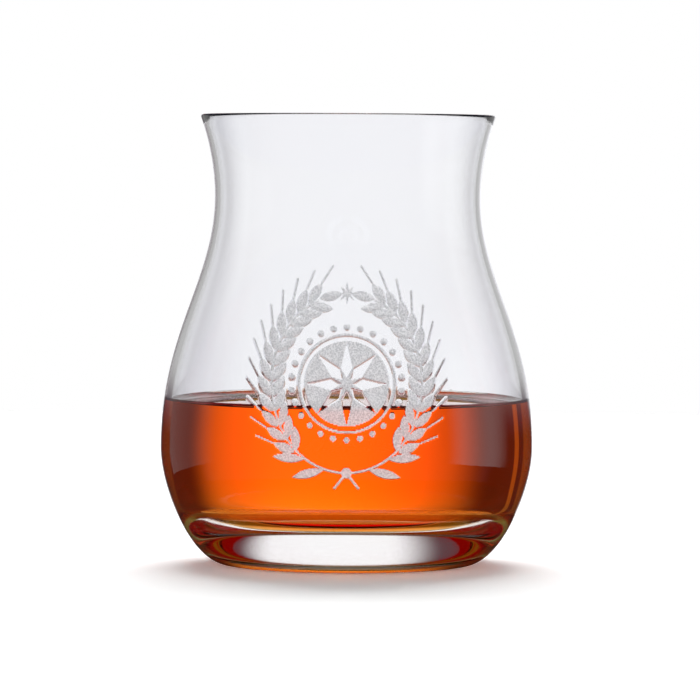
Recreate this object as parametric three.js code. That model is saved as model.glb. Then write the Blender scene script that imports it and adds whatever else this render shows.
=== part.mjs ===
// Tulip-shaped whisky glass of clear crystal, with a pour of whisky in it.
// Millimetres, +Z up. The origin is the middle of the foot, on the surface that the glass stands on.

import * as THREE from "three";

// Outside of the glass, from the rim down
const TOTAL_HEIGHT = 101.6;
const RIM_DIAMETER = 66.5;
const LIP_FLARE_DEGREES = 19;
const NECK_BELOW_RIM = 18.5;
const NECK_DIAMETER = 60.1;
const BELLY_DIAMETER = 84.1;
const BELLY_HEIGHT = 26.5;
const FOOT_DIAMETER = 54.4;

// Fullness of the outside: how far each stretch runs on in its own direction before it bends
const THROAT_FULLNESS = 19;
const SHOULDER_FULLNESS = 26;
const LOWER_BOWL_FULLNESS = 9.8;
const HEEL_FULLNESS = 7.5;

// Walls and the heavy base
const RIM_WALL = 1.1;
const NECK_WALL = 1.2;
const BELLY_WALL = 1.6;
const FLOOR_HEIGHT = 11.1;
const FLOOR_DIAMETER = 44;
const FLOOR_CORNER_FULLNESS = 6;
const INNER_BOWL_FULLNESS = 12.2;

// Shallow hollow under the base, inside the ring that the glass stands on
const FOOT_RING_WIDTH = 4.5;
const PUNT_DEPTH = 1.2;

// The pour
const POUR_DEPTH = 25.2;
const POUR_CLEARANCE = 0.3;

// Facets: flats around the axis, and steps along each curve of the profile
const FLATS_AROUND = 64;
const LONG_CURVE_STEPS = 10;
const SHORT_CURVE_STEPS = 6;

const rimRadius = RIM_DIAMETER / 2;
const neckRadius = NECK_DIAMETER / 2;
const neckHeight = TOTAL_HEIGHT - NECK_BELOW_RIM;
const bellyRadius = BELLY_DIAMETER / 2;
const footRadius = FOOT_DIAMETER / 2;
const floorRadius = FLOOR_DIAMETER / 2;
const lipFlare = THREE.MathUtils.degToRad(LIP_FLARE_DEGREES);

// A profile point: distance from the axis, and height
function at(radius, height) {
  return new THREE.Vector2(radius, height);
}

// Round cap that joins the two sides of the wall at the rim, square to the flare of the lip
function rimCap() {
  const capRadius = RIM_WALL / 2;
  return new THREE.EllipseCurve(
    rimRadius - capRadius, TOTAL_HEIGHT - capRadius,
    capRadius, capRadius,
    -lipFlare, Math.PI - lipFlare,
  );
}

// Lip: upright at the neck, leaning out by the flare where it meets the rim cap
function lipCurve(neckSide, rimSide) {
  const bendHeight = rimSide.y - (rimSide.x - neckSide.x) / Math.tan(lipFlare);
  return new THREE.QuadraticBezierCurve(neckSide, at(neckSide.x, bendHeight), rimSide);
}

// Shoulder: upright at the belly and upright again at the neck
function shoulderCurve(belly, neck) {
  return new THREE.CubicBezierCurve(
    belly,
    at(belly.x, belly.y + SHOULDER_FULLNESS),
    at(neck.x, neck.y - THROAT_FULLNESS),
    neck,
  );
}

// Bowl: level at its edge near the axis, upright at the belly
function bowlCurve(edge, edgeFullness, belly, bellyFullness) {
  return new THREE.CubicBezierCurve(
    edge,
    at(edge.x + edgeFullness, edge.y),
    at(belly.x, belly.y - bellyFullness),
    belly,
  );
}

// Outer wall, from the middle of the hollow under the base up to the rim cap
function outerWall() {
  const puntRadius = footRadius - FOOT_RING_WIDTH;
  const foot = at(footRadius, 0);
  const belly = at(bellyRadius, BELLY_HEIGHT);
  const neck = at(neckRadius, neckHeight);
  const punt = new THREE.QuadraticBezierCurve(
    at(0, PUNT_DEPTH), at(puntRadius / 2, PUNT_DEPTH), at(puntRadius, 0),
  );
  const lowerBowl = bowlCurve(foot, HEEL_FULLNESS, belly, LOWER_BOWL_FULLNESS);
  return [
    ...punt.getPoints(SHORT_CURVE_STEPS),
    ...lowerBowl.getPoints(LONG_CURVE_STEPS),
    ...shoulderCurve(belly, neck).getPoints(LONG_CURVE_STEPS).slice(1),
    ...lipCurve(neck, rimCap().getPoint(0)).getPoints(SHORT_CURVE_STEPS).slice(1, -1),
  ];
}

// Inner wall, from the middle of the floor up to the rim cap
function innerWall() {
  const belly = at(bellyRadius - BELLY_WALL, BELLY_HEIGHT);
  const neck = at(neckRadius - NECK_WALL, neckHeight);
  const floorEdge = at(floorRadius, FLOOR_HEIGHT);
  const innerBowl = bowlCurve(floorEdge, FLOOR_CORNER_FULLNESS, belly, INNER_BOWL_FULLNESS);
  return [
    at(0, FLOOR_HEIGHT),
    ...innerBowl.getPoints(LONG_CURVE_STEPS),
    ...shoulderCurve(belly, neck).getPoints(LONG_CURVE_STEPS).slice(1),
    ...lipCurve(neck, rimCap().getPoint(1)).getPoints(SHORT_CURVE_STEPS).slice(1, -1),
  ];
}

// Closed section of the vessel: up the outside, over the rim and down the inside
function glassProfile() {
  return [
    ...outerWall(),
    ...rimCap().getPoints(SHORT_CURVE_STEPS),
    ...innerWall().reverse(),
  ];
}

// Profile moved off the wall towards the whisky, square to the wall at each point
function offsetInwards(wall, clearance) {
  return wall.map((point, index) => {
    if (index === 0) {
      return at(point.x, point.y + clearance);
    }
    const before = wall[index - 1];
    const after = wall[Math.min(index + 1, wall.length - 1)];
    const along = after.clone().sub(before).normalize();
    return at(point.x - along.y * clearance, point.y + along.x * clearance);
  });
}

// Closed section of the pour: along the floor, up the side, and level across the top
function pourProfile() {
  const level = FLOOR_HEIGHT + POUR_DEPTH;
  const side = offsetInwards(innerWall(), POUR_CLEARANCE);
  const above = side.findIndex((point) => point.y > level);
  const below = side[above - 1];
  const share = (level - below.y) / (side[above].y - below.y);
  return [
    ...side.slice(0, above),
    below.clone().lerp(side[above], share),
    at(0, level),
  ];
}

// Body of revolution about +Z
function turned(name, profile, material) {
  const geometry = new THREE.LatheGeometry(profile, FLATS_AROUND);
  geometry.rotateX(Math.PI / 2);
  const mesh = new THREE.Mesh(geometry, material);
  mesh.name = name;
  return mesh;
}

const crystal = new THREE.MeshStandardMaterial({
  color: 0xf4f5f8,
  roughness: 0.03,
  metalness: 0,
  transparent: true,
  opacity: 0.3,
});

const amber = new THREE.MeshStandardMaterial({
  color: 0xe8690a,
  roughness: 0.05,
  metalness: 0,
  transparent: true,
  opacity: 0.85,
});

const whiskyGlass = new THREE.Group();
whiskyGlass.add(turned("glass_body", glassProfile(), crystal));
whiskyGlass.add(turned("whisky_pour", pourProfile(), amber));

export default whiskyGlass;
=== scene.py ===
"""Looks of a tulip-shaped whisky glass: crystal vessel, amber pour, studio light and camera."""

import logging
import math
from abc import ABC, abstractmethod
from collections.abc import Sequence
from dataclasses import dataclass, replace
from enum import Enum
from functools import cached_property, reduce
from typing import ClassVar

import bmesh
import bpy
import numpy as np
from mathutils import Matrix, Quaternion, Vector
from mathutils.geometry import interpolate_bezier


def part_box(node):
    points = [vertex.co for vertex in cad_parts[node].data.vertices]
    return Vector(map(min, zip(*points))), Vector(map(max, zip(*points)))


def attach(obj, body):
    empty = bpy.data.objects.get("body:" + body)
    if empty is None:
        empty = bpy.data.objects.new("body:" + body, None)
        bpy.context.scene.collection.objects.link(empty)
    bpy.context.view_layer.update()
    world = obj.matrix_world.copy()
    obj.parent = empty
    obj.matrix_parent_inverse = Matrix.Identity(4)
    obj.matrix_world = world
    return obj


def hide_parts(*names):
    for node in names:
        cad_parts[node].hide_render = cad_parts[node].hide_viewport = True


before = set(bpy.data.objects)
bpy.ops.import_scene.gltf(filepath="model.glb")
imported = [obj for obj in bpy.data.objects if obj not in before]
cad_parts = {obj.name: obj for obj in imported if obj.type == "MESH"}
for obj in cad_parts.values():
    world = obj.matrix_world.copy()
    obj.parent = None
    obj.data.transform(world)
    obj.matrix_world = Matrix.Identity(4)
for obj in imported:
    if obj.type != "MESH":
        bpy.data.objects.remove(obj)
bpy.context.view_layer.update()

MM = 0.001
FULL_TURN = 360.0
UP = Vector((0.0, 0.0, 1.0))
LIGHT_BOUNCES = 32

log = logging.getLogger("whisky_glass")


def at(radius: float, height: float) -> Vector:
    """A point of a turned section, drawn in the half plane that faces the camera."""
    return Vector((0.0, -radius, height))


def curve(start: Vector, lead: Vector, trail: Vector, end: Vector, steps: int) -> list[Vector]:
    """Points along a cubic curve.

    Args:
        start: First point of the curve.
        lead: Handle that the curve sets out towards.
        trail: Handle that the curve arrives from.
        end: Last point of the curve.
        steps: Number of stretches between the points.

    Returns:
        The points from start to end, both included.
    """
    return interpolate_bezier(start, lead, trail, end, steps + 1)


def bent_once(start: Vector, bend: Vector, end: Vector, steps: int) -> list[Vector]:
    """Points along a curve with one bend, tangent to both legs of the bend.

    Args:
        start: First point of the curve.
        bend: Corner that the curve rounds off.
        end: Last point of the curve.
        steps: Number of stretches between the points.

    Returns:
        The points from start to end, both included.
    """
    pull = 2 / 3
    return curve(start, start.lerp(bend, pull), end.lerp(bend, pull), end, steps)


@dataclass(frozen=True)
class GlassSection:
    """Section of the vessel through its axis."""

    height: float = 101.6 * MM
    rim_radius: float = 33.25 * MM
    lip_flare: float = math.radians(19)
    neck_below_rim: float = 18.5 * MM
    neck_radius: float = 30.05 * MM
    belly_radius: float = 42.05 * MM
    belly_height: float = 26.5 * MM
    foot_radius: float = 27.2 * MM
    throat_fullness: float = 19 * MM
    shoulder_fullness: float = 26 * MM
    lower_bowl_fullness: float = 9.8 * MM
    heel_fullness: float = 7.5 * MM
    rim_wall: float = 1.1 * MM
    neck_wall: float = 1.2 * MM
    belly_wall: float = 1.6 * MM
    floor_height: float = 11.1 * MM
    floor_radius: float = 22 * MM
    floor_corner_fullness: float = 6 * MM
    inner_bowl_fullness: float = 12.2 * MM
    foot_ring_width: float = 4.5 * MM
    punt_depth: float = 1.2 * MM
    long_steps: int = 34
    short_steps: int = 10
    finer_steps: int = 8

    def _rim_point(self, turn: float) -> Vector:
        """Point of the round rim at an angle from its outermost point."""
        cap = self.rim_wall / 2
        radius = self.rim_radius - cap + cap * math.cos(turn)
        return at(radius, self.height - cap + cap * math.sin(turn))

    def _lip(self, neck: Vector, rim: Vector) -> list[Vector]:
        """Flaring lip from a point of the neck up to a side of the rim."""
        run = -(rim.y - neck.y)
        bend = neck.copy()
        bend.z = rim.z - run / math.tan(self.lip_flare)
        return bent_once(neck, bend, rim, self.short_steps)

    def _shoulder(self, belly: Vector, neck: Vector) -> list[Vector]:
        """Shoulder from the belly to the neck, upright at both ends."""
        lead = belly + UP * self.shoulder_fullness
        trail = neck - UP * self.throat_fullness
        return curve(belly, lead, trail, neck, self.long_steps)

    def outer(self) -> list[Vector]:
        """Outside, from the middle of the hollow under the base to the rim.

        Returns:
            Section points, from the axis outwards and up.
        """
        punt_radius = self.foot_radius - self.foot_ring_width
        punt_top = at(0, self.punt_depth)
        punt_edge = at(punt_radius, 0)
        foot = at(self.foot_radius, 0)
        heel = at(self.foot_radius + self.heel_fullness, 0)
        belly = at(self.belly_radius, self.belly_height)
        neck = at(self.neck_radius, self.height - self.neck_below_rim)
        rim = self._rim_point(-self.lip_flare)
        return [
            *bent_once(punt_top, at(punt_radius / 2, self.punt_depth), punt_edge, self.short_steps),
            *curve(foot, heel, belly - UP * self.lower_bowl_fullness, belly, self.long_steps),
            *self._shoulder(belly, neck)[1:],
            *self._lip(neck, rim)[1:],
        ]

    def rim(self) -> list[Vector]:
        """Round edge between the outside and the inside, its two ends left out."""
        turns = [math.pi * step / self.short_steps for step in range(1, self.short_steps)]
        return [self._rim_point(turn - self.lip_flare) for turn in turns]

    def inner(self) -> list[Vector]:
        """Inside, from the middle of the floor up to the rim.

        Returns:
            Section points, from the axis outwards and up.
        """
        belly = at(self.belly_radius - self.belly_wall, self.belly_height)
        neck = at(self.neck_radius - self.neck_wall, self.height - self.neck_below_rim)
        floor_edge = at(self.floor_radius, self.floor_height)
        corner = at(self.floor_radius + self.floor_corner_fullness, self.floor_height)
        rim = self._rim_point(math.pi - self.lip_flare)
        return [
            at(0, self.floor_height),
            *curve(floor_edge, corner, belly - UP * self.inner_bowl_fullness, belly, self.long_steps),
            *self._shoulder(belly, neck)[1:],
            *self._lip(neck, rim)[1:],
        ]

    def closed(self) -> list[Vector]:
        """Whole section: up the outside, over the rim and down the inside."""
        return [*self.outer(), *self.rim(), *reversed(self.inner())]

    @cached_property
    def _outside(self) -> tuple[list[float], list[float]]:
        """Heights and radii of the outer wall, at short steps."""
        smooth = replace(self, long_steps=self.long_steps * self.finer_steps)
        wall = [point for point in smooth.outer() if -point.y >= self.foot_radius]
        return [point.z for point in wall], [-point.y for point in wall]

    def outer_radius(self, heights: np.ndarray) -> np.ndarray:
        """Radius of the outer wall at heights above the foot."""
        return np.interp(heights, *self._outside)


@dataclass(frozen=True)
class Motif(ABC):
    """One cut of the engraving, drawn flat: u to the right, v up, both from the middle."""

    hollowed: ClassVar[bool] = True
    u: float
    v: float

    @abstractmethod
    def inside(self, u: np.ndarray, v: np.ndarray) -> np.ndarray:
        """How far each point lies inside the outline, below zero outside it."""


@dataclass(frozen=True)
class Pearl(Motif):
    """Round dot."""

    radius: float

    def inside(self, u: np.ndarray, v: np.ndarray) -> np.ndarray:
        """How far each point lies inside the dot."""
        return self.radius - np.hypot(u, v)


@dataclass(frozen=True)
class Ring(Motif):
    """Round groove."""

    radius: float
    width: float

    def inside(self, u: np.ndarray, v: np.ndarray) -> np.ndarray:
        """How far each point lies inside the groove."""
        return self.width / 2 - np.abs(np.hypot(u, v) - self.radius)


@dataclass(frozen=True)
class Grain(Motif):
    """Pointed oval, such as a barley grain or a leaf."""

    heading: float
    length: float
    width: float

    def inside(self, u: np.ndarray, v: np.ndarray) -> np.ndarray:
        """How far each point lies inside the oval, which two arcs bound."""
        along = u * math.cos(self.heading) + v * math.sin(self.heading)
        across = v * math.cos(self.heading) - u * math.sin(self.heading)
        radius = (self.length**2 + self.width**2) / (4 * self.width)
        return radius - np.hypot(along, np.abs(across) + radius - self.width / 2)


@dataclass(frozen=True)
class Stroke(Motif):
    """Straight line with round ends, such as an awn or a piece of stem."""

    heading: float
    length: float
    width: float

    def inside(self, u: np.ndarray, v: np.ndarray) -> np.ndarray:
        """How far each point lies inside the line."""
        along = u * math.cos(self.heading) + v * math.sin(self.heading)
        across = v * math.cos(self.heading) - u * math.sin(self.heading)
        past = along - np.clip(along, 0.0, self.length)
        return self.width / 2 - np.hypot(past, across)


@dataclass(frozen=True)
class Star(Motif):
    """Star of straight-sided rays."""

    rays: int
    reach: float
    waist: float
    turn: float = math.pi / 2

    def inside(self, u: np.ndarray, v: np.ndarray) -> np.ndarray:
        """How far each point lies inside the star, measured square to the side of its ray."""
        half = math.pi / self.rays
        angle = np.arctan2(v, u) - self.turn
        folded = np.abs((angle + half) % (2 * half) - half)
        distance = np.hypot(u, v)
        rise = self.waist * math.sin(half)
        run = self.reach - self.waist * math.cos(half)
        ahead = self.reach - distance * np.cos(folded)
        return (ahead * rise - distance * np.sin(folded) * run) / math.hypot(rise, run)


@dataclass(frozen=True)
class StarField(Motif):
    """Round field with a star left standing in it."""

    hollowed: ClassVar[bool] = False
    radius: float
    star: Star

    def inside(self, u: np.ndarray, v: np.ndarray) -> np.ndarray:
        """How far each point lies inside the field and clear of the star."""
        return np.minimum(self.radius - np.hypot(u, v), -self.star.inside(u, v))


@dataclass(frozen=True)
class BarleyEar:
    """Ear of barley on a stem that bends round the medallion; the left one mirrors the right one."""

    side: int
    half_width: float = 17.0 * MM
    half_height: float = 19.4 * MM
    stem_start: float = math.radians(-96)
    stem_end: float = math.radians(68)
    stem_width: float = 0.75 * MM
    stem_steps: int = 40
    first_grain: float = math.radians(-42)
    grains: int = 12
    grain_lean: float = math.radians(32)
    grain_length: float = 5.6 * MM
    grain_width: float = 2.35 * MM
    grain_offset: float = 1.65 * MM
    awn_length: float = 4.4 * MM
    awn_width: float = 0.62 * MM
    leaves: Sequence[float] = (math.radians(-74), math.radians(-58))
    leaf_length: float = 7.8 * MM
    leaf_width: float = 2.2 * MM

    def _stem(self, turn: float) -> tuple[float, float, float]:
        """Place and heading of the stem at a turn from the right-hand side of its oval."""
        u = self.half_width * math.cos(turn)
        v = self.half_height * math.sin(turn)
        heading = math.atan2(self.half_height * math.cos(turn), -self.half_width * math.sin(turn))
        return u, v, heading

    def _mirrored(self, heading: float) -> float:
        """Heading as it is on this side."""
        return heading if self.side > 0 else math.pi - heading

    def _grain(self, turn: float, lean: int) -> list[Motif]:
        """One grain beside the stem, with its awn where it leans outwards."""
        u, v, heading = self._stem(turn)
        square = heading + lean * math.pi / 2
        u += self.grain_offset * math.cos(square)
        v += self.grain_offset * math.sin(square)
        heading += lean * self.grain_lean
        facing = self._mirrored(heading)
        cuts = [Grain(self.side * u, v, facing, self.grain_length, self.grain_width)]
        if lean < 0:
            u += self.grain_length / 2 * math.cos(heading)
            v += self.grain_length / 2 * math.sin(heading)
            cuts.append(Stroke(self.side * u, v, facing, self.awn_length, self.awn_width))
        return cuts

    def motifs(self) -> list[Motif]:
        """All cuts of the ear: stem, leaves, paired grains with awns, and the grain at its tip.

        Returns:
            The cuts, from the foot of the stem upwards.
        """
        cuts = []
        stretch = (self.stem_end - self.stem_start) / self.stem_steps
        for index in range(self.stem_steps):
            u, v, _ = self._stem(self.stem_start + index * stretch)
            next_u, next_v, _ = self._stem(self.stem_start + (index + 1) * stretch)
            heading = self._mirrored(math.atan2(next_v - v, next_u - u))
            length = math.hypot(next_u - u, next_v - v)
            cuts.append(Stroke(self.side * u, v, heading, length, self.stem_width))
        for turn in self.leaves:
            u, v, heading = self._stem(turn)
            heading -= self.grain_lean
            u += self.leaf_length / 2 * math.cos(heading)
            v += self.leaf_length / 2 * math.sin(heading)
            facing = self._mirrored(heading)
            cuts.append(Grain(self.side * u, v, facing, self.leaf_length, self.leaf_width))
        spacing = (self.stem_end - self.first_grain) / (self.grains - 1)
        for index in range(self.grains):
            for lean in (-1, 1):
                cuts += self._grain(self.first_grain + index * spacing, lean)
        u, v, heading = self._stem(self.stem_end + spacing)
        facing = self._mirrored(heading)
        cuts.append(Grain(self.side * u, v, facing, self.grain_length, self.grain_width))
        return cuts


@dataclass(frozen=True)
class Engraving:
    """Frosted roundel on the front of the bowl: a star medallion between two ears of barley."""

    height: float = 42.5 * MM
    half_angle: float = math.radians(34)
    low: float = 17.5 * MM
    high: float = 68.5 * MM
    finer: int = 7
    finer_margin: float = 1.6 * MM
    bevel_slope: float = 1.0
    floor_depth: float = 0.18 * MM
    hollow_slope: float = 0.3
    polished_rim: float = 0.13 * MM
    medallion: StarField = StarField(
        u=0.0,
        v=0.0,
        radius=9.4 * MM,
        star=Star(u=0.0, v=0.0, rays=8, reach=8.6 * MM, waist=3.4 * MM),
    )
    inner_star: Star = Star(u=0.0, v=0.0, rays=8, reach=5.2 * MM, waist=1.4 * MM, turn=math.pi / 8)
    border: Ring = Ring(u=0.0, v=0.0, radius=10.6 * MM, width=0.85 * MM)
    pearls: int = 26
    pearl_ring: float = 12.25 * MM
    pearl_radius: float = 0.8 * MM
    crest: Star = Star(u=0.0, v=19.6 * MM, rays=8, reach=2.8 * MM, waist=1.0 * MM)
    tie: Pearl = Pearl(u=0.0, v=-19.4 * MM, radius=1.3 * MM)
    tail_lean: float = math.radians(38)
    tail_length: float = 4.2 * MM
    tail_width: float = 0.8 * MM

    def _motifs(self) -> list[Motif]:
        """All cuts of the roundel."""
        turns = [math.tau * index / self.pearls for index in range(self.pearls)]
        pearls = [
            Pearl(self.pearl_ring * math.sin(turn), self.pearl_ring * math.cos(turn), self.pearl_radius)
            for turn in turns
        ]
        tails = [
            Stroke(self.tie.u, self.tie.v, -math.pi / 2 + lean, self.tail_length, self.tail_width)
            for lean in (self.tail_lean, -self.tail_lean)
        ]
        ears = [*BarleyEar(1).motifs(), *BarleyEar(-1).motifs()]
        medallion = [self.medallion, self.inner_star, self.border]
        return [*medallion, self.crest, self.tie, *tails, *pearls, *ears]

    def _cut(self, u: np.ndarray, v: np.ndarray) -> tuple[np.ndarray, np.ndarray]:
        """Depth of the engraving: a bevel along each outline, then a level or a hollowed floor.

        Args:
            u: Places to the right of the middle, along the wall.
            v: Places above the middle.

        Returns:
            The depth at each place, zero where the wall is left whole, and how far the place lies
            inside the outline of a cut.
        """
        depth, inside = np.zeros_like(u), np.full_like(u, -np.inf)
        for motif in self._motifs():
            reach = motif.inside(u - motif.u, v - motif.v)
            floor = self.floor_depth + reach * (self.hollow_slope if motif.hollowed else 0.0)
            depth = np.maximum(depth, np.minimum(reach * self.bevel_slope, floor))
            inside = np.maximum(inside, reach)
        return depth, inside

    def _covered(
        self, points: Sequence[Vector], section: GlassSection
    ) -> tuple[np.ndarray, np.ndarray, np.ndarray, np.ndarray]:
        """Lays points of the vessel out flat.

        Args:
            points: Points anywhere on the vessel.
            section: Section that the vessel was turned from.

        Returns:
            Whether each point lies on the engraved part of the outer wall, its place to the right of the
            middle along the wall, its place above the middle, and the radius of the whole wall there.
        """
        x, y, z = np.array(points).T
        turn = np.arctan2(x, -y)
        wall = section.outer_radius(z)
        covered = (z > self.low) & (z < self.high) & (np.abs(turn) < self.half_angle)
        covered &= np.hypot(x, y) > wall - section.neck_wall / 2
        return covered, turn * wall, z - self.height, wall

    def engrave(self, shape: bmesh.types.BMesh, section: GlassSection, frosted: int) -> None:
        """Cuts the roundel into the wall.

        Args:
            shape: Mesh of the vessel, which is changed.
            section: Section that the vessel was turned from.
            frosted: Material index of the cut faces.
        """
        faces = shape.faces[:]
        covered, u, v, _ = self._covered([face.calc_center_median() for face in faces], section)
        _, inside = self._cut(u, v)
        near = np.flatnonzero(covered & (inside > -self.finer_margin))
        edges = {edge for index in near for edge in faces[index].edges}
        bmesh.ops.subdivide_edges(shape, edges=list(edges), cuts=self.finer, use_grid_fill=True)
        points = shape.verts[:]
        covered, u, v, wall = self._covered([point.co for point in points], section)
        depth, _ = self._cut(u, v)
        for index in np.flatnonzero(covered):
            point = points[index].co
            spread = (wall[index] - depth[index]) / point.xy.length
            point.x *= spread
            point.y *= spread
        faces = shape.faces[:]
        covered, u, v, _ = self._covered([face.calc_center_median() for face in faces], section)
        _, inside = self._cut(u, v)
        for index in np.flatnonzero(covered & (inside > self.polished_rim)):
            faces[index].material_index = frosted
        shape.normal_update()


@dataclass(frozen=True)
class Lathe:
    """Turns a section about the upright axis into a closed mesh."""

    steps: int = 180
    merge_distance: float = 0.0005 * MM
    sharp_angle: float = math.radians(40)

    def spin(self, section: Sequence[Vector]) -> bmesh.types.BMesh:
        """Spins a section that starts and ends on the axis.

        Args:
            section: Points of the section, in order.

        Returns:
            The closed shape.
        """
        shape = bmesh.new()
        points = [shape.verts.new(point) for point in section]
        edges = [shape.edges.new(pair) for pair in zip(points, points[1:])]
        bmesh.ops.spin(
            shape,
            geom=[*points, *edges],
            cent=(0, 0, 0),
            axis=UP,
            angle=math.tau,
            steps=self.steps,
            use_merge=True,
        )
        bmesh.ops.remove_doubles(shape, verts=shape.verts[:], dist=self.merge_distance)
        bmesh.ops.recalc_face_normals(shape, faces=shape.faces[:])
        return shape

    def finish(self, name: str, shape: bmesh.types.BMesh) -> bpy.types.Object:
        """Smooths a turned shape and makes it an object.

        Args:
            name: Name of the new object.
            shape: The turned shape, which is used up.

        Returns:
            The object, linked to the scene.
        """
        for face in shape.faces:
            face.smooth = True
        mesh = bpy.data.meshes.new(name)
        shape.to_mesh(mesh)
        shape.free()
        mesh.set_sharp_from_angle(angle=self.sharp_angle)
        piece = bpy.data.objects.new(name, mesh)
        bpy.context.scene.collection.objects.link(piece)
        return piece


Signal = bpy.types.NodeSocket | float | Sequence[float]


class Ray(Enum):
    """Facts about a light ray that the studio answers to."""

    CAMERA = "Is Camera Ray"
    GLOSSY = "Is Glossy Ray"
    TRANSMISSION = "Is Transmission Ray"
    SCATTERED = "Diffuse Depth"
    MIRRORED = "Glossy Depth"
    PASSED = "Transmission Depth"


class NodeBench:
    """Adds nodes to one tree and wires them up."""

    clear_passes: ClassVar[int] = 4
    between_counts: ClassVar[float] = 0.5

    def __init__(self, tree: bpy.types.NodeTree) -> None:
        """Starts work on a tree."""
        self.nodes = tree.nodes
        self.links = tree.links

    def add(self, kind: str, **settings: str | float) -> bpy.types.Node:
        """Adds a node of a kind, with its settings."""
        node = self.nodes.new(kind)
        for key, value in settings.items():
            setattr(node, key, value)
        return node

    def feed(self, socket: bpy.types.NodeSocket, value: Signal) -> None:
        """Gives a socket a fixed value, or links another socket to it."""
        if isinstance(value, bpy.types.NodeSocket):
            self.links.new(value, socket)
        elif isinstance(value, Sequence):
            socket.default_value = (*value, 1.0)
        else:
            socket.default_value = value

    def sum(self, operation: str, *values: Signal) -> bpy.types.NodeSocket:
        """Works out one sum of numbers or number sockets."""
        node = self.add("ShaderNodeMath", operation=operation)
        for socket, value in zip(node.inputs, values):
            self.feed(socket, value)
        return node.outputs["Value"]

    def product(self, *shares: Signal) -> bpy.types.NodeSocket:
        """Multiplies two or more shares."""
        return reduce(lambda first, second: self.sum("MULTIPLY", first, second), shares)

    def rest(self, share: Signal) -> bpy.types.NodeSocket:
        """What a share leaves over from 1."""
        return self.sum("SUBTRACT", 1, share)

    def step(self, value: bpy.types.NodeSocket, start: float, end: float) -> bpy.types.NodeSocket:
        """Soft step of a value, from 0 at the start to 1 at the end.

        Args:
            value: Number that the step follows.
            start: Value where the step begins.
            end: Value where the step is complete, on either side of the start.

        Returns:
            The socket that gives the step.
        """
        node = self.add("ShaderNodeMapRange", interpolation_type="SMOOTHSTEP")
        node.inputs["From Min"].default_value = start
        node.inputs["From Max"].default_value = end
        self.feed(node.inputs["Value"], value)
        return node.outputs["Result"]

    def noise(self, scale: float) -> bpy.types.NodeSocket:
        """Noise through the solid of an object, with so many waves to the metre."""
        node = self.add("ShaderNodeTexNoise")
        node.inputs["Scale"].default_value = scale
        self.feed(node.inputs["Vector"], self.add("ShaderNodeTexCoord").outputs["Object"])
        return node.outputs["Fac"]

    def unmirrored(self) -> bpy.types.NodeSocket:
        """1 for a ray that no surface has mirrored on its way, otherwise 0."""
        rays = self.add("ShaderNodeLightPath").outputs
        return self.sum("LESS_THAN", rays[Ray.MIRRORED.value], self.between_counts)

    def steeped(self) -> bpy.types.NodeSocket:
        """1 for a ray that has passed more surfaces than clear glass has, so whisky too, otherwise 0."""
        rays = self.add("ShaderNodeLightPath").outputs
        return self.sum("GREATER_THAN", rays[Ray.PASSED.value], self.clear_passes + self.between_counts)

    def mix(self, share: Signal, first: Signal, second: Signal) -> bpy.types.NodeSocket:
        """Blends two colours.

        Args:
            share: Share of the second colour, from 0 to 1.
            first: Colour or socket that shows at 0.
            second: Colour or socket that shows at 1.

        Returns:
            The socket that gives the blend.
        """
        node = self.add("ShaderNodeMix", data_type="RGBA")
        self.feed(node.inputs["Factor"], share)
        self.feed(node.inputs["A"], first)
        self.feed(node.inputs["B"], second)
        return node.outputs["Result"]


class Shader:
    """Node tree of one material, with a Principled shader at its end."""

    def __init__(self, name: str) -> None:
        """Starts a material that holds only its shader and its output."""
        self.material = bpy.data.materials.new(name)
        self.material.use_nodes = True
        self.bench = NodeBench(self.material.node_tree)
        self.principled = self.bench.nodes["Principled BSDF"]
        self.output = self.bench.nodes["Material Output"]

    def set(self, **values: float | Sequence[float]) -> None:
        """Sets sockets of the Principled shader, named with underscores for spaces."""
        for key, value in values.items():
            self.principled.inputs[key.replace("_", " ")].default_value = value

    def absorb(self, colour: Sequence[float], density: float) -> None:
        """Adds a plain absorbing volume."""
        volume = self.bench.add("ShaderNodeVolumeAbsorption")
        self.bench.feed(volume.inputs["Color"], colour)
        self.bench.feed(volume.inputs["Density"], density)
        self.bench.feed(self.output.inputs["Volume"], volume.outputs["Volume"])


@dataclass(frozen=True)
class CrystalFinish:
    """Clear polished crystal; where whisky wets it the wall no longer mirrors."""

    name: str = "clear_crystal"
    wetted: bool = False
    ior: float = 1.50
    clearest: Sequence[float] = (1.0, 1.0, 1.0)
    cloudiest: Sequence[float] = (0.985, 0.99, 0.992)
    cloud_scale: float = 60.0
    scuff_scale: float = 1800.0
    scuff_start: float = 0.45
    scuff_full: float = 0.7
    scuff_height: float = 0.4 * MM
    scuff_roughness: float = 0.25

    def material(self) -> bpy.types.Material:
        """Makes the material: faint clouds in the crystal, and fine scuffs where it stands."""
        shader = Shader(self.name)
        bench = shader.bench
        shader.set(IOR=self.ior, Transmission_Weight=1.0)
        if self.wetted:
            shader.set(Specular_Tint=(0, 0, 0, 1))
        clouds = bench.mix(bench.noise(self.cloud_scale), self.clearest, self.cloudiest)
        bench.feed(shader.principled.inputs["Base Color"], clouds)
        axes = bench.add("ShaderNodeSeparateXYZ")
        bench.feed(axes.inputs["Vector"], bench.add("ShaderNodeTexCoord").outputs["Object"])
        low = bench.step(axes.outputs["Z"], self.scuff_height, 0.0)
        scuffs = bench.step(bench.noise(self.scuff_scale), self.scuff_start, self.scuff_full)
        roughness = bench.product(low, scuffs, self.scuff_roughness)
        bench.feed(shader.principled.inputs["Roughness"], roughness)
        return shader.material


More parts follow.
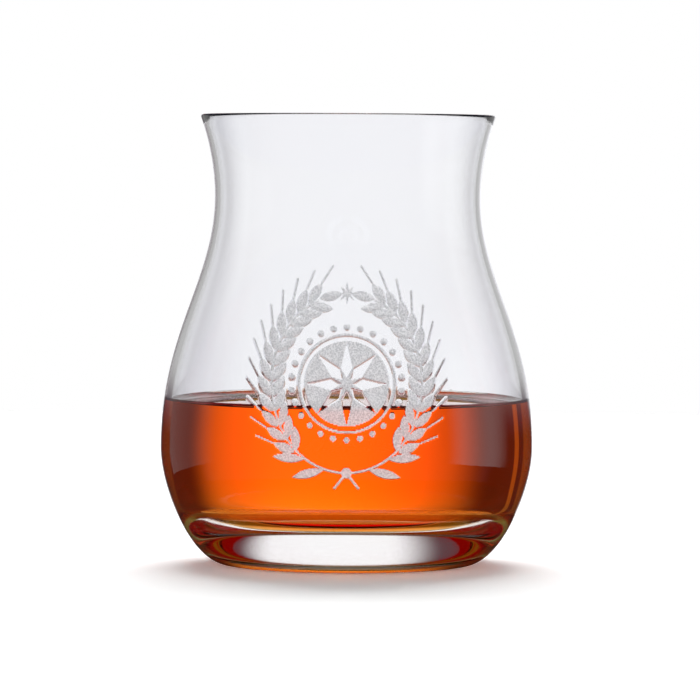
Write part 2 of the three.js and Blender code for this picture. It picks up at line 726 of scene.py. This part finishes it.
@dataclass(frozen=True)
class FrostedFinish:
    """Matt ground of the engraving: milky, with a fine sparkling grain."""

    name: str = "frosted_crystal"
    ior: float = 1.50
    clear_share: float = 0.2
    dull: Sequence[float] = (0.55, 0.555, 0.58)
    bright: Sequence[float] = (0.85, 0.85, 0.87)
    grain_scale: float = 3200.0
    grain_start: float = 0.36
    grain_full: float = 0.64
    smooth: float = 0.5
    rough: float = 0.75

    def material(self) -> bpy.types.Material:
        """Makes the material, whose bright grains are smoother than the dull ones."""
        shader = Shader(self.name)
        bench = shader.bench
        shader.set(IOR=self.ior, Transmission_Weight=self.clear_share)
        speckle = bench.step(bench.noise(self.grain_scale), self.grain_start, self.grain_full)
        bench.feed(shader.principled.inputs["Base Color"], bench.mix(speckle, self.dull, self.bright))
        roughness = bench.sum("MULTIPLY_ADD", speckle, self.smooth - self.rough, self.rough)
        bench.feed(shader.principled.inputs["Roughness"], roughness)
        return shader.material


@dataclass(frozen=True)
class WhiskyFinish:
    """Amber spirit: clear, coloured by its depth; it mirrors only where it meets the air."""

    name: str = "amber_whisky"
    open_air: bool = False
    ior: float = 1.36
    absorbed_red: float = 0.1
    absorbed_green: float = 32.0
    absorbed_blue: float = 88.0
    clearest: Sequence[float] = (1.0, 1.0, 1.0)
    densest: Sequence[float] = (1.0, 0.95, 0.9)
    swirl_scale: float = 45.0

    def material(self) -> bpy.types.Material:
        """Makes the material, with faint swirls; the absorbed shares are per metre of depth."""
        shader = Shader(self.name)
        shader.set(Roughness=0.0, IOR=self.ior, Transmission_Weight=1.0)
        if not self.open_air:
            shader.set(Specular_Tint=(0, 0, 0, 1))
        swirls = shader.bench.mix(shader.bench.noise(self.swirl_scale), self.clearest, self.densest)
        shader.bench.feed(shader.principled.inputs["Base Color"], swirls)
        absorbed = (self.absorbed_red, self.absorbed_green, self.absorbed_blue)
        density = max(absorbed)
        shader.absorb([1 - share / density for share in absorbed], density)
        return shader.material


@dataclass(frozen=True)
class GlassBody:
    """The crystal vessel."""

    section: GlassSection = GlassSection()
    lathe: Lathe = Lathe()
    finish: CrystalFinish = CrystalFinish()
    wetted_finish: CrystalFinish = CrystalFinish("wetted_crystal", wetted=True)
    frosted_finish: FrostedFinish = FrostedFinish()
    engraving: Engraving = Engraving()
    floor_facing: float = 0.7
    floor_share: float = 0.9

    @property
    def finishes(self) -> list[CrystalFinish | FrostedFinish]:
        """Finishes in the order of their material slots."""
        return [self.finish, self.wetted_finish, self.frosted_finish]

    def _wet(self, mesh: bpy.types.Mesh, level: float) -> None:
        """Gives the inside of the bowl below the whisky its own finish."""
        lowest = self.section.floor_height * self.floor_share
        wetted = self.finishes.index(self.wetted_finish)
        for face in mesh.polygons:
            towards_axis = face.normal.xy.dot(face.center.xy) < 0
            upwards = face.normal.z > self.floor_facing
            if (towards_axis or upwards) and lowest < face.center.z < level:
                face.material_index = wetted

    def build(self) -> bpy.types.Object:
        """Turns the vessel, dresses it and puts it on its body."""
        shape = self.lathe.spin(self.section.closed())
        self.engraving.engrave(shape, self.section, self.finishes.index(self.frosted_finish))
        piece = self.lathe.finish("crystal_vessel", shape)
        for finish in self.finishes:
            piece.data.materials.append(finish.material())
        self._wet(piece.data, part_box("whisky_pour")[1].z)
        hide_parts("glass_body")
        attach(piece, "glass")
        return piece


@dataclass(frozen=True)
class WhiskyPour:
    """The whisky that stands in the bowl, wetting the wall."""

    section: GlassSection = GlassSection()
    lathe: Lathe = Lathe()
    finish: WhiskyFinish = WhiskyFinish()
    surface_finish: WhiskyFinish = WhiskyFinish("whisky_surface", open_air=True)
    wetting_overlap: float = 0.05 * MM
    meniscus_rise: float = 1.3 * MM
    meniscus_reach: float = 1.5 * MM
    meniscus_steps: int = 16
    meniscus_span: float = 10 * MM

    def _wall(self) -> list[Vector]:
        """The inside of the glass, moved into the wall by the overlap."""
        wall = self.section.inner()
        moved = []
        for index, point in enumerate(wall):
            before = wall[max(index - 1, 0)]
            after = wall[min(index + 1, len(wall) - 1)]
            along = (after - before).normalized()
            outwards = Vector((0.0, -along.z, along.y))
            moved.append(point + outwards * self.wetting_overlap)
        moved[0].y = 0.0
        return moved

    def _closed(self, level: float) -> list[Vector]:
        """Section of the pour: floor, wall, and a surface that climbs at the wall.

        Args:
            level: Height of the still surface in the middle.

        Returns:
            Section points that start and end on the axis.
        """
        top = level + self.meniscus_rise
        wall = self._wall()
        above = next(index for index, point in enumerate(wall) if point.z > top)
        below = wall[above - 1]
        contact = below.lerp(wall[above], (top - below.z) / (wall[above].z - below.z))
        surface = []
        for step in range(1, self.meniscus_steps + 1):
            inwards = self.meniscus_span * (step / self.meniscus_steps) ** 2
            climb = self.meniscus_rise * math.exp(-inwards / self.meniscus_reach)
            surface.append(at(-contact.y - inwards, level + climb))
        return [*wall[:above], contact, *surface, at(0, level)]

    def build(self) -> bpy.types.Object:
        """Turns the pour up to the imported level, dresses it and puts it on its body."""
        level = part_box("whisky_pour")[1].z
        piece = self.lathe.finish("amber_pour", self.lathe.spin(self._closed(level)))
        piece.data.materials.append(self.finish.material())
        piece.data.materials.append(self.surface_finish.material())
        for face in piece.data.polygons:
            face.material_index = int(face.normal.z > 0 and face.center.z > level - self.wetting_overlap)
        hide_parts("whisky_pour")
        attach(piece, "whisky")
        return piece


@dataclass(frozen=True)
class Sector:
    """Stretch of the mirrored surround, in degrees from straight behind, clockwise from above."""

    start: float
    end: float
    colour: Sequence[float]


@dataclass(frozen=True)
class Softbox:
    """Soft light far away, by its bearing from straight behind and its height above the table."""

    bearing: float
    half_width: float
    low: float
    high: float
    level: float
    blur: float = 8.0

    def light(
        self, bench: NodeBench, bearing: bpy.types.NodeSocket, height: bpy.types.NodeSocket
    ) -> bpy.types.NodeSocket:
        """Strength of the light in the direction of a ray.

        Args:
            bench: Bench of the world's nodes.
            bearing: Bearing of the ray, in degrees from straight behind.
            height: Angle of the ray above the table, in degrees.

        Returns:
            The socket that gives the strength.
        """
        turn = bench.sum("SUBTRACT", bearing, self.bearing)
        aside = bench.sum("ABSOLUTE", bench.sum("WRAP", turn, FULL_TURN / 2, -FULL_TURN / 2))
        within = bench.step(aside, self.half_width + self.blur, self.half_width)
        above = bench.step(height, self.low - self.blur, self.low)
        below = bench.step(height, self.high + self.blur, self.high)
        return bench.product(within, above, below, self.level)


class Seen(Enum):
    """What a panel can be seen through."""

    ANYTHING = "glass and whisky"
    WHISKY = "whisky alone"
    CLEAR = "clear glass alone"


@dataclass(frozen=True)
class Panel:
    """Upright panel near the glass, whose light fades towards its ends and its top.

    Its bearing is in degrees from straight behind the glass, clockwise from above, and its start and
    end lie to the left and the right of that bearing, as seen from the glass.
    """

    name: str
    distance: float
    start: float
    end: float
    start_fade: float
    end_fade: float
    bearing: float = 0.0
    foot: float = -80 * MM
    foot_rise: float = 0.0
    foot_fade: float = 0.0
    top: float = 230 * MM
    top_fade: float = 60 * MM
    level: float = 1.0
    through: bool = True
    mirrored: bool = False
    straight_only: bool = False
    seen: Seen = Seen.ANYTHING
    tail: float = 1.0
    colour: Sequence[float] = (1.0, 1.0, 1.0)

    def _shape(self) -> bpy.types.Mesh:
        """Flat mesh of the panel, mapped from corner to corner."""
        half = 0.5
        shape = bmesh.new()
        shape.loops.layers.uv.new("corners")
        bmesh.ops.create_grid(shape, x_segments=1, y_segments=1, size=half, calc_uvs=True)
        turn = Quaternion(UP, -math.radians(self.bearing))
        for vertex in shape.verts:
            share = vertex.co.x + half
            foot = self.foot + share * self.foot_rise
            height = foot + (vertex.co.y + half) * (self.top - foot)
            along = self.start + share * (self.end - self.start)
            vertex.co = turn @ Vector((along, self.distance, height))
        mesh = bpy.data.meshes.new(self.name)
        shape.to_mesh(mesh)
        shape.free()
        return mesh

    def _light(self) -> bpy.types.Material:
        """Light of the panel, faded at its edges."""
        shader = Shader(self.name)
        bench = shader.bench
        axes = bench.add("ShaderNodeSeparateXYZ")
        bench.feed(axes.inputs["Vector"], bench.add("ShaderNodeTexCoord").outputs["UV"])
        along, up = axes.outputs["X"], axes.outputs["Y"]
        width = self.end - self.start
        height = self.top - min(self.foot, self.foot + self.foot_rise)
        sides = bench.product(
            bench.step(along, 0, self.start_fade / width),
            bench.step(along, 1, 1 - self.end_fade / width),
        )
        shares = [bench.sum("POWER", sides, self.tail), bench.step(up, 1, 1 - self.top_fade / height)]
        if self.foot_fade:
            shares.append(bench.step(up, 0, self.foot_fade / height))
        if self.straight_only:
            shares.append(bench.unmirrored())
        if self.seen is Seen.WHISKY:
            shares.append(bench.steeped())
        if self.seen is Seen.CLEAR:
            shares.append(bench.rest(bench.steeped()))
        bench.feed(shader.principled.inputs["Alpha"], bench.product(*shares))
        shader.set(
            Base_Color=(0, 0, 0, 1),
            Specular_IOR_Level=0.0,
            Emission_Color=(*self.colour, 1),
            Emission_Strength=self.level,
        )
        return shader.material

    def build(self) -> bpy.types.Object:
        """Makes the panel, which the camera doesn't see and which lights nothing but the glass."""
        piece = bpy.data.objects.new(self.name, self._shape())
        bpy.context.scene.collection.objects.link(piece)
        piece.data.materials.append(self._light())
        piece.visible_camera = False
        piece.visible_diffuse = False
        piece.visible_shadow = False
        piece.visible_transmission = self.through
        piece.visible_glossy = self.mirrored
        return piece


def panels_behind() -> list[Panel]:
    """White straight behind the glass, and a brighter glow that only the whisky shows."""
    white = Panel(
        "back_panel",
        distance=300 * MM,
        start=-155 * MM,
        end=205 * MM,
        start_fade=112 * MM,
        end_fade=123 * MM,
        top=300 * MM,
        top_fade=80 * MM,
        level=1.06,
        mirrored=True,
        tail=2.0,
        colour=(0.98, 0.985, 1.02),
    )
    glow = Panel(
        "glow_panel",
        distance=290 * MM,
        start=-62 * MM,
        end=92 * MM,
        start_fade=70 * MM,
        end_fade=75 * MM,
        top=140 * MM,
        level=2.1,
        straight_only=True,
        seen=Seen.WHISKY,
    )
    return [white, glow]


def shoulder_wings() -> list[Panel]:
    """Cool white close behind the shoulders, which clear glass shows."""
    left = Panel(
        "left_wing",
        distance=105 * MM,
        start=-130 * MM,
        end=-26 * MM,
        start_fade=40 * MM,
        end_fade=22 * MM,
        foot=22 * MM,
        foot_fade=12 * MM,
        top=150 * MM,
        top_fade=20 * MM,
        level=0.88,
        straight_only=True,
        seen=Seen.CLEAR,
        colour=(0.97, 0.975, 1.05),
    )
    right = replace(
        left,
        name="right_wing",
        start=30 * MM,
        end=130 * MM,
        start_fade=22 * MM,
        end_fade=40 * MM,
        level=0.96,
    )
    return [left, right]


def neck_cards() -> list[Panel]:
    """Grey cards beside the neck, which clear glass shows and mirrors at its edges."""
    left = Panel(
        "left_neck_card",
        distance=100 * MM,
        start=-70 * MM,
        end=70 * MM,
        start_fade=20 * MM,
        end_fade=20 * MM,
        bearing=-65,
        foot=34 * MM,
        foot_fade=15 * MM,
        top=118 * MM,
        top_fade=12 * MM,
        level=0.48,
        mirrored=True,
        seen=Seen.CLEAR,
    )
    return [left, replace(left, name="right_neck_card", bearing=65)]


def low_cards() -> list[Panel]:
    """Dark cards beside the belly, whose mirror images leave the edges of the whisky brown."""
    left = Panel(
        "left_low_card",
        distance=100 * MM,
        start=-70 * MM,
        end=70 * MM,
        start_fade=20 * MM,
        end_fade=20 * MM,
        bearing=-65,
        top=38 * MM,
        top_fade=12 * MM,
        level=0.02,
        through=False,
        mirrored=True,
    )
    return [left, replace(left, name="right_low_card", bearing=65)]


def edge_panels() -> list[Panel]:
    """Dim panels that the whisky shows at its edges: a glow at both, and a streak at the right one."""
    streak = Panel(
        "edge_streak",
        distance=260 * MM,
        start=-10 * MM,
        end=10 * MM,
        start_fade=4 * MM,
        end_fade=4 * MM,
        bearing=-37,
        top=140 * MM,
        level=0.42,
        straight_only=True,
        seen=Seen.WHISKY,
    )
    right = replace(
        streak,
        name="right_edge_glow",
        start=-42 * MM,
        end=42 * MM,
        start_fade=10 * MM,
        end_fade=10 * MM,
        bearing=-52,
        level=0.3,
    )
    return [streak, right, replace(right, name="left_edge_glow", bearing=52, level=0.2)]


def panels_around() -> list[Panel]:
    """White panels beside and in front of the glass, which it shows when seen from elsewhere."""
    front = Panel(
        "front_panel",
        distance=190 * MM,
        start=-110 * MM,
        end=110 * MM,
        start_fade=50 * MM,
        end_fade=50 * MM,
        bearing=180,
        straight_only=True,
    )
    return [
        replace(front, name="right_panel", bearing=90, start=-70 * MM, end=120 * MM),
        replace(front, name="front_right_panel", bearing=135),
        front,
        replace(front, name="front_left_panel", bearing=-135),
        replace(front, name="left_panel", bearing=-90, start=-120 * MM, end=70 * MM),
    ]


def belly_cards() -> list[Panel]:
    """Cards beside the belly that show only as mirror images on it."""
    left = Panel(
        "left_card",
        distance=88 * MM,
        start=-35 * MM,
        end=75 * MM,
        start_fade=22 * MM,
        end_fade=40 * MM,
        bearing=-90,
        foot=15 * MM,
        foot_rise=-12 * MM,
        top=100 * MM,
        top_fade=45 * MM,
        level=0.3,
        through=False,
        mirrored=True,
    )
    right = replace(
        left,
        name="right_card",
        start=-10 * MM,
        end=68 * MM,
        start_fade=30 * MM,
        end_fade=23 * MM,
        bearing=90,
        foot=12 * MM,
        foot_rise=0.0,
        level=1.15,
    )
    return [left, right]


@dataclass(frozen=True)
class Studio:
    """Round white plate, soft light from behind, and panels that the glass shows and mirrors."""

    plate_radius: float = 90 * MM
    table_radius: float = 700 * MM
    plate_sides: int = 96
    plate_drop: float = 0.05 * MM
    plate_albedo: Sequence[float] = (0.9, 0.9, 0.9)
    plate_white: Sequence[float] = (1.3, 1.3, 1.3)
    plate_mirrored: Sequence[float] = (0.02, 0.02, 0.02)
    fill_level: float = 0.12
    softboxes: Sequence[Softbox] = (
        Softbox(bearing=0, half_width=26, low=42, high=66, level=7.2),
        Softbox(bearing=0, half_width=180, low=3, high=14, level=3.6, blur=3.0),
    )
    dim: Sequence[float] = (0.105, 0.068, 0.078)
    base_glow: Sequence[float] = (0.21, 0.18, 0.03)
    edge_blur: float = 12.0
    overhead: Sequence[float] = (0.3, 0.3, 0.33)
    overhead_start: float = 50.0
    overhead_end: float = 70.0
    table_start: float = -12.0
    table_end: float = -15.0
    mirrored: Sequence[Sector] = (
        Sector(start=28, end=78, colour=(0.1, 0.1, 0.14)),
        Sector(start=-78, end=-28, colour=(0.1, 0.1, 0.14)),
    )
    panels: Sequence[Panel] = (
        *panels_behind(),
        *shoulder_wings(),
        *neck_cards(),
        *low_cards(),
        *edge_panels(),
        *panels_around(),
        *belly_cards(),
    )

    def _mirrored(self, bench: NodeBench, bearing: bpy.types.NodeSocket) -> bpy.types.NodeSocket:
        """Colour that the surround has in mirror images, by bearing."""
        ramp = bench.add("ShaderNodeValToRGB")
        middle = 0.5
        bench.feed(ramp.inputs["Fac"], bench.sum("MULTIPLY_ADD", bearing, 1 / FULL_TURN, middle))
        marks = []
        for sector in sorted(self.mirrored, key=lambda sector: sector.start):
            marks.append((sector.start - self.edge_blur, self.dim))
            marks.append((sector.start, sector.colour))
            marks.append((sector.end, sector.colour))
            marks.append((sector.end + self.edge_blur, self.dim))
        stops = ramp.color_ramp.elements
        for index, (angle, colour) in enumerate(marks):
            place = angle / FULL_TURN + middle
            stop = stops[index] if index < len(stops) else stops.new(place)
            stop.position = place
            stop.color = (*colour, 1.0)
        return ramp.outputs["Color"]

    def surround(self) -> None:
        """Makes the world: white to the camera, dim to the glass, and soft light on the table."""
        world = bpy.data.worlds.new("surround")
        bpy.context.scene.world = world
        world.use_nodes = True
        bench = NodeBench(world.node_tree)
        axes = bench.add("ShaderNodeSeparateXYZ")
        bench.feed(axes.inputs["Vector"], bench.add("ShaderNodeTexCoord").outputs["Generated"])
        bearing = bench.sum("ARCTAN2", axes.outputs["X"], axes.outputs["Y"])
        bearing = bench.sum("DEGREES", bearing)
        height = bench.sum("DEGREES", bench.sum("ARCSINE", axes.outputs["Z"]))
        fill = self.fill_level
        for softbox in self.softboxes:
            fill = bench.sum("ADD", fill, softbox.light(bench, bearing, height))
        overhead = bench.step(height, self.overhead_start, self.overhead_end)
        through = bench.mix(overhead, self.dim, self.overhead)
        table = bench.step(height, self.table_start, self.table_end)
        through = bench.mix(bench.product(table, bench.unmirrored()), through, self.plate_albedo)
        turned_in_base = bench.product(bench.steeped(), bench.rest(bench.unmirrored()))
        through = bench.mix(turned_in_base, through, self.base_glow)
        mirrored = bench.mix(overhead, self._mirrored(bench, bearing), self.overhead)
        rays = bench.add("ShaderNodeLightPath").outputs
        colour = bench.mix(rays[Ray.GLOSSY.value], fill, mirrored)
        colour = bench.mix(rays[Ray.TRANSMISSION.value], colour, through)
        colour = bench.mix(rays[Ray.SCATTERED.value], colour, fill)
        colour = bench.mix(rays[Ray.CAMERA.value], colour, (1, 1, 1))
        bench.feed(world.node_tree.nodes["Background"].inputs["Color"], colour)

    def _table_finish(self) -> bpy.types.Material:
        """White of the table: plain to the camera, as lit through the glass, dark in mirror images."""
        shader = Shader("white_table")
        bench = shader.bench
        shader.set(Roughness=1.0, Specular_IOR_Level=0.0)
        rays = bench.add("ShaderNodeLightPath").outputs
        straight = bench.product(rays[Ray.TRANSMISSION.value], bench.unmirrored())
        colour = bench.mix(rays[Ray.GLOSSY.value], self.plate_albedo, self.plate_mirrored)
        colour = bench.mix(straight, colour, self.plate_albedo)
        colour = bench.mix(rays[Ray.CAMERA.value], colour, self.plate_white)
        bench.feed(shader.principled.inputs["Base Color"], colour)
        return shader.material

    def _stand(
        self, name: str, shape: bmesh.types.BMesh, finish: bpy.types.Material
    ) -> bpy.types.Object:
        """Lays a flat shape under the glass.

        Args:
            name: Name of the new object.
            shape: Flat shape, which is used up.
            finish: Material of the shape.

        Returns:
            The object, linked to the scene.
        """
        bmesh.ops.translate(shape, verts=shape.verts[:], vec=-UP * self.plate_drop)
        mesh = bpy.data.meshes.new(name)
        shape.to_mesh(mesh)
        shape.free()
        mesh.materials.append(finish)
        piece = bpy.data.objects.new(name, mesh)
        bpy.context.scene.collection.objects.link(piece)
        return piece

    def table(self) -> None:
        """Makes the round plate that the glass stands on, and the table that goes on around it."""
        finish = self._table_finish()
        plate = bmesh.new()
        bmesh.ops.create_circle(
            plate, cap_ends=True, radius=self.plate_radius, segments=self.plate_sides
        )
        self._stand("white_plate", plate, finish)
        around = bmesh.new()
        bmesh.ops.create_circle(around, radius=self.plate_radius, segments=self.plate_sides)
        wider = bmesh.ops.extrude_edge_only(around, edges=around.edges[:])["geom"]
        bmesh.ops.scale(
            around,
            verts=[item for item in wider if isinstance(item, bmesh.types.BMVert)],
            vec=Vector.Fill(3, self.table_radius / self.plate_radius),
        )
        table = self._stand("white_table", around, finish)
        table.visible_transmission = False
        table.visible_glossy = False

    def build(self) -> None:
        """Makes the surround, the plate and the panels."""
        self.surround()
        self.table()
        for panel in self.panels:
            panel.build()


@dataclass(frozen=True)
class PhotoCamera:
    """Camera in front of the glass, between the whisky and the rim."""

    distance: float = 1.13
    height: float = 90.3 * MM
    aim_height: float = 48.4 * MM
    aim_side: float = 0.66 * MM
    view_width: float = 158.3 * MM
    sensor: float = 36.0
    roll: float = math.radians(0.3)

    def build(self) -> bpy.types.Object:
        """Makes the camera and hands it to the scene."""
        data = bpy.data.cameras.new("photo_camera")
        data.sensor_width = self.sensor
        place = Vector((self.aim_side, -self.distance, self.height))
        aim = Vector((self.aim_side, 0.0, self.aim_height))
        data.lens = self.sensor * (aim - place).length / self.view_width
        camera = bpy.data.objects.new("photo_camera", data)
        bpy.context.scene.collection.objects.link(camera)
        camera.location = place
        facing = (aim - place).to_track_quat("-Z", "Y")
        camera.rotation_mode = "QUATERNION"
        camera.rotation_quaternion = facing @ Quaternion(UP, self.roll)
        bpy.context.scene.camera = camera
        return camera


def main() -> None:
    """Builds the pieces in order, then the studio and the camera."""
    logging.basicConfig(level=logging.INFO, format="%(name)s: %(message)s")
    scene = bpy.context.scene
    scene.view_settings.view_transform = "Standard"
    scene.cycles.max_bounces = LIGHT_BOUNCES
    scene.cycles.transmission_bounces = LIGHT_BOUNCES
    scene.cycles.glossy_bounces = LIGHT_BOUNCES
    for piece in (GlassBody().build(), WhiskyPour().build()):
        log.info("%s has %d faces", piece.name, len(piece.data.polygons))
    Studio().build()
    PhotoCamera().build()


if __name__ == "__main__":
    main()
